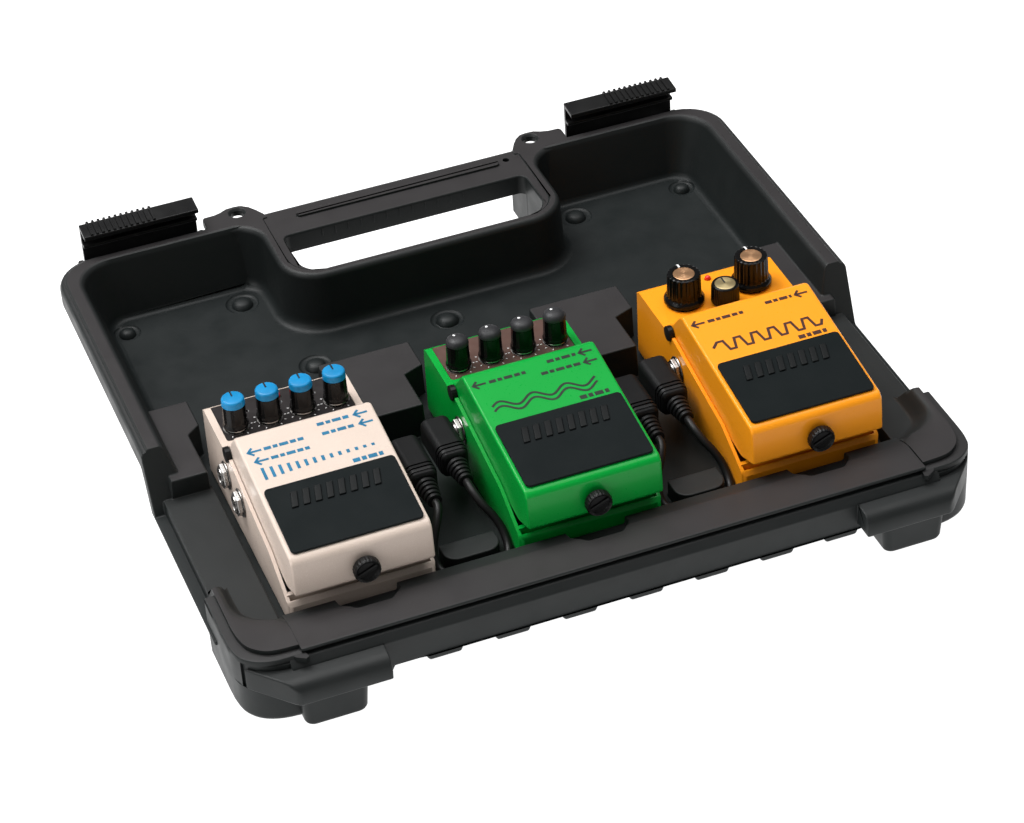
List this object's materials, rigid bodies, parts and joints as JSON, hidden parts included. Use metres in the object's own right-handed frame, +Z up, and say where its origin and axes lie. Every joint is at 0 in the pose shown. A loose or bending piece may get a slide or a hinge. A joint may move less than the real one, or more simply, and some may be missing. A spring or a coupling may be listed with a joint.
{
  "type": "pedalboard",
  "caption": "Carrying-case pedalboard with a handle, latches and a tray, holding compact effect pedals joined by patch cords.",
  "frame": {"origin": "below the middle of the board, on the surface it stands on", "axes": "+X along the board's width, to the player's right, +Y from its front bar to its handle, +Z up"},
  "size_m": [0.364, 0.341, 0.0747],
  "materials": {
    "case_plastic": "dark charcoal moulded plastic, fine texture",
    "latch_plastic": "black moulded plastic",
    "plug_plastic": "black moulded plastic",
    "cord_jacket": "black flexible jacket",
    "white_paint": "pearl white enamel on die-cast metal",
    "green_paint": "green enamel on die-cast metal",
    "orange_paint": "yellow-orange enamel on die-cast metal",
    "pad_rubber": "embossed black rubber",
    "plate_steel": "zinc plated sheet",
    "board_laminate": "green laminate",
    "spring_steel": "spring wire",
    "bush_plastic": "black pin with plastic bushes",
    "screw_plastic": "black thumbscrew",
    "lamp_red": "red lens",
    "white_panel": "black printed panel",
    "green_panel": "brown printed panel",
    "jack_nickel": "nickel plated socket and nut",
    "knob_blue_cap": "black knob with a blue cap",
    "knob_grey_cap": "black knob with a dark grey cap",
    "knob_copper": "black skirted knob with a spun copper disc",
    "knob_gold": "black ribbed knob with a spun gold disc"
  },
  "bodies": {
    "case": {"case_base": "case_plastic", "cord_green_to_orange": "cord_jacket", "cord_green_to_orange_plug_in": "plug_plastic", "cord_green_to_orange_plug_out": "plug_plastic", "cord_white_to_green": "cord_jacket", "cord_white_to_green_plug_in": "plug_plastic", "cord_white_to_green_plug_out": "plug_plastic", "green_base_plate": "plate_steel", "green_check_led": "lamp_red", "green_circuit_board": "board_laminate", "green_control_plate": "green_panel", "green_hinge_pin": "bush_plastic", "green_housing": "green_paint", "green_jack_left": "jack_nickel", "green_jack_right_front": "jack_nickel", "green_jack_right_rear": "jack_nickel", "green_return_spring": "spring_steel", "orange_base_plate": "plate_steel", "orange_check_led": "lamp_red", "orange_circuit_board": "board_laminate", "orange_hinge_pin": "bush_plastic", "orange_housing": "orange_paint", "orange_jack_left": "jack_nickel", "orange_jack_right": "jack_nickel", "orange_return_spring": "spring_steel", "white_base_plate": "plate_steel", "white_check_led": "lamp_red", "white_circuit_board": "board_laminate", "white_control_plate": "white_panel", "white_hinge_pin": "bush_plastic", "white_housing": "white_paint", "white_jack_left_front": "jack_nickel", "white_jack_left_rear": "jack_nickel", "white_jack_right_front": "jack_nickel", "white_jack_right_rear": "jack_nickel", "white_return_spring": "spring_steel"},
    "green_knob_far_left": {"green_knob_far_left": "knob_grey_cap"},
    "green_knob_far_right": {"green_knob_far_right": "knob_grey_cap"},
    "green_knob_left": {"green_knob_left": "knob_grey_cap"},
    "green_knob_right": {"green_knob_right": "knob_grey_cap"},
    "green_thumbscrew": {"green_thumbscrew": "screw_plastic"},
    "green_treadle": {"green_tread_pad": "pad_rubber", "green_treadle": "green_paint"},
    "latch_left": {"latch_left": "latch_plastic"},
    "latch_right": {"latch_right": "latch_plastic"},
    "orange_knob_left": {"orange_knob_left": "knob_copper"},
    "orange_knob_middle": {"orange_knob_middle": "knob_gold"},
    "orange_knob_right": {"orange_knob_right": "knob_copper"},
    "orange_thumbscrew": {"orange_thumbscrew": "screw_plastic"},
    "orange_treadle": {"orange_tread_pad": "pad_rubber", "orange_treadle": "orange_paint"},
    "white_knob_far_left": {"white_knob_far_left": "knob_blue_cap"},
    "white_knob_far_right": {"white_knob_far_right": "knob_blue_cap"},
    "white_knob_left": {"white_knob_left": "knob_blue_cap"},
    "white_knob_right": {"white_knob_right": "knob_blue_cap"},
    "white_thumbscrew": {"white_thumbscrew": "screw_plastic"},
    "white_treadle": {"white_tread_pad": "pad_rubber", "white_treadle": "white_paint"}
  },
  "joints": [
    {"name": "latch_left_swing", "type": "hinge", "parent": "case", "child": "latch_left", "pos_m": [-0.13265, 0.1652, 0.0392], "axis": [1, 0, 0], "range_deg": [-100, 0]},
    {"name": "latch_right_swing", "type": "hinge", "parent": "case", "child": "latch_right", "pos_m": [0.13265, 0.1652, 0.0392], "axis": [1, 0, 0], "range_deg": [-100, 0]},
    {"name": "white_treadle_hinge", "type": "hinge", "parent": "case", "child": "white_treadle", "pos_m": [-0.1121, -0.0355, 0.0572], "axis": [1, 0, 0], "range_deg": [-60, 1.5], "stiffness_Nm_per_rad": 4, "springref_deg": -1.43, "deforming": ["white_return_spring"]},
    {"name": "white_screw_turn", "type": "hinge", "parent": "white_treadle", "child": "white_thumbscrew", "pos_m": [-0.1121, -0.1314, 0.0495], "axis": [0, 1, 0], "continuous": true},
    {"name": "green_treadle_hinge", "type": "hinge", "parent": "case", "child": "green_treadle", "pos_m": [-0.001, -0.0355, 0.0572], "axis": [1, 0, 0], "range_deg": [-60, 1.5], "stiffness_Nm_per_rad": 4, "springref_deg": -1.43, "deforming": ["green_return_spring"]},
    {"name": "green_screw_turn", "type": "hinge", "parent": "green_treadle", "child": "green_thumbscrew", "pos_m": [-0.001, -0.1314, 0.0495], "axis": [0, 1, 0], "continuous": true},
    {"name": "orange_treadle_hinge", "type": "hinge", "parent": "case", "child": "orange_treadle", "pos_m": [0.1101, -0.0355, 0.0572], "axis": [1, 0, 0], "range_deg": [-32, 1.5], "stiffness_Nm_per_rad": 4, "springref_deg": -1.43, "deforming": ["orange_return_spring"]},
    {"name": "orange_screw_turn", "type": "hinge", "parent": "orange_treadle", "child": "orange_thumbscrew", "pos_m": [0.1101, -0.1314, 0.0495], "axis": [0, 1, 0], "continuous": true},
    {"name": "white_far_left_turn", "type": "hinge", "parent": "case", "child": "white_knob_far_left", "pos_m": [-0.13685, -0.0173, 0.0637], "axis": [0, 0, 1], "range_deg": [-150, 150]},
    {"name": "white_left_turn", "type": "hinge", "parent": "case", "child": "white_knob_left", "pos_m": [-0.12035, -0.0173, 0.0637], "axis": [0, 0, 1], "range_deg": [-150, 150]},
    {"name": "white_right_turn", "type": "hinge", "parent": "case", "child": "white_knob_right", "pos_m": [-0.10385, -0.0173, 0.0637], "axis": [0, 0, 1], "range_deg": [-150, 150]},
    {"name": "white_far_right_turn", "type": "hinge", "parent": "case", "child": "white_knob_far_right", "pos_m": [-0.08735, -0.0173, 0.0637], "axis": [0, 0, 1], "range_deg": [-150, 150]},
    {"name": "green_far_left_turn", "type": "hinge", "parent": "case", "child": "green_knob_far_left", "pos_m": [-0.02575, -0.0173, 0.0637], "axis": [0, 0, 1], "range_deg": [-150, 150]},
    {"name": "green_left_turn", "type": "hinge", "parent": "case", "child": "green_knob_left", "pos_m": [-0.00925, -0.0173, 0.0637], "axis": [0, 0, 1], "range_deg": [-150, 150]},
    {"name": "green_right_turn", "type": "hinge", "parent": "case", "child": "green_knob_right", "pos_m": [0.00725, -0.0173, 0.0637], "axis": [0, 0, 1], "range_deg": [-150, 150]},
    {"name": "green_far_right_turn", "type": "hinge", "parent": "case", "child": "green_knob_far_right", "pos_m": [0.02375, -0.0173, 0.0637], "axis": [0, 0, 1], "range_deg": [-150, 150]},
    {"name": "orange_left_turn", "type": "hinge", "parent": "case", "child": "orange_knob_left", "pos_m": [0.0923, -0.0147, 0.0637], "axis": [0, 0, 1], "range_deg": [-150, 150]},
    {"name": "orange_middle_turn", "type": "hinge", "parent": "case", "child": "orange_knob_middle", "pos_m": [0.1101, -0.0236, 0.0637], "axis": [0, 0, 1], "range_deg": [-150, 150]},
    {"name": "orange_right_turn", "type": "hinge", "parent": "case", "child": "orange_knob_right", "pos_m": [0.1279, -0.0147, 0.0637], "axis": [0, 0, 1], "range_deg": [-150, 150]}
  ]
}
